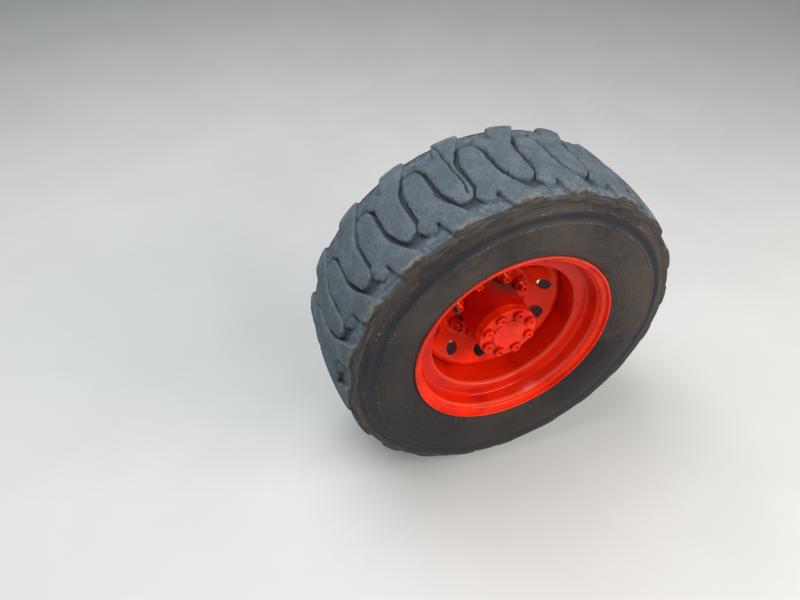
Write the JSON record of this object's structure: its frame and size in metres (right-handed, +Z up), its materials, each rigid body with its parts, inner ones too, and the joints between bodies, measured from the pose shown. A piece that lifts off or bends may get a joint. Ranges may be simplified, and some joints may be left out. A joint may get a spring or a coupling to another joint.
{
  "type": "scissor lift wheel",
  "caption": "Worn bar-lug tyre on a drop-centre rim with a dished disc and hub, turning on a flanged axle spindle; a drive wheel of a rough-terrain scissor lift.",
  "frame": {"origin": "centre of the spindle's bolting face", "axes": "+Y along the wheel's axis, inboard, out of the bolting face; the wheel's outboard face looks towards -Y; +Z up"},
  "size_m": [0.754, 0.2759, 0.754],
  "materials": {
    "wheel_paint": "glossy orange-red paint, dusty, chipped at the rim's edge",
    "tyre_rubber": "worn, weathered rubber, grey-blue dust on the tread, brown-black sidewalls",
    "spindle_steel": "turned steel, lightly oiled",
    "seal_rubber": "matt black rubber"
  },
  "bodies": {
    "axle_end": {"spindle": "spindle_steel"},
    "wheel": {"hub": "wheel_paint", "hub_seal": "seal_rubber", "drive_flange": "wheel_paint", "drive_flange_bolts": "wheel_paint", "wheel_studs": "wheel_paint", "wheel_nuts": "wheel_paint", "wheel_disc": "wheel_paint", "wheel_rim": "wheel_paint", "tyre_valve": "seal_rubber", "tyre": "tyre_rubber"}
  },
  "joints": [
    {"name": "wheel_spin", "type": "hinge", "parent": "axle_end", "child": "wheel", "pos_m": [0, -0.142, 0], "axis": [0, 1, 0], "continuous": true}
  ]
}
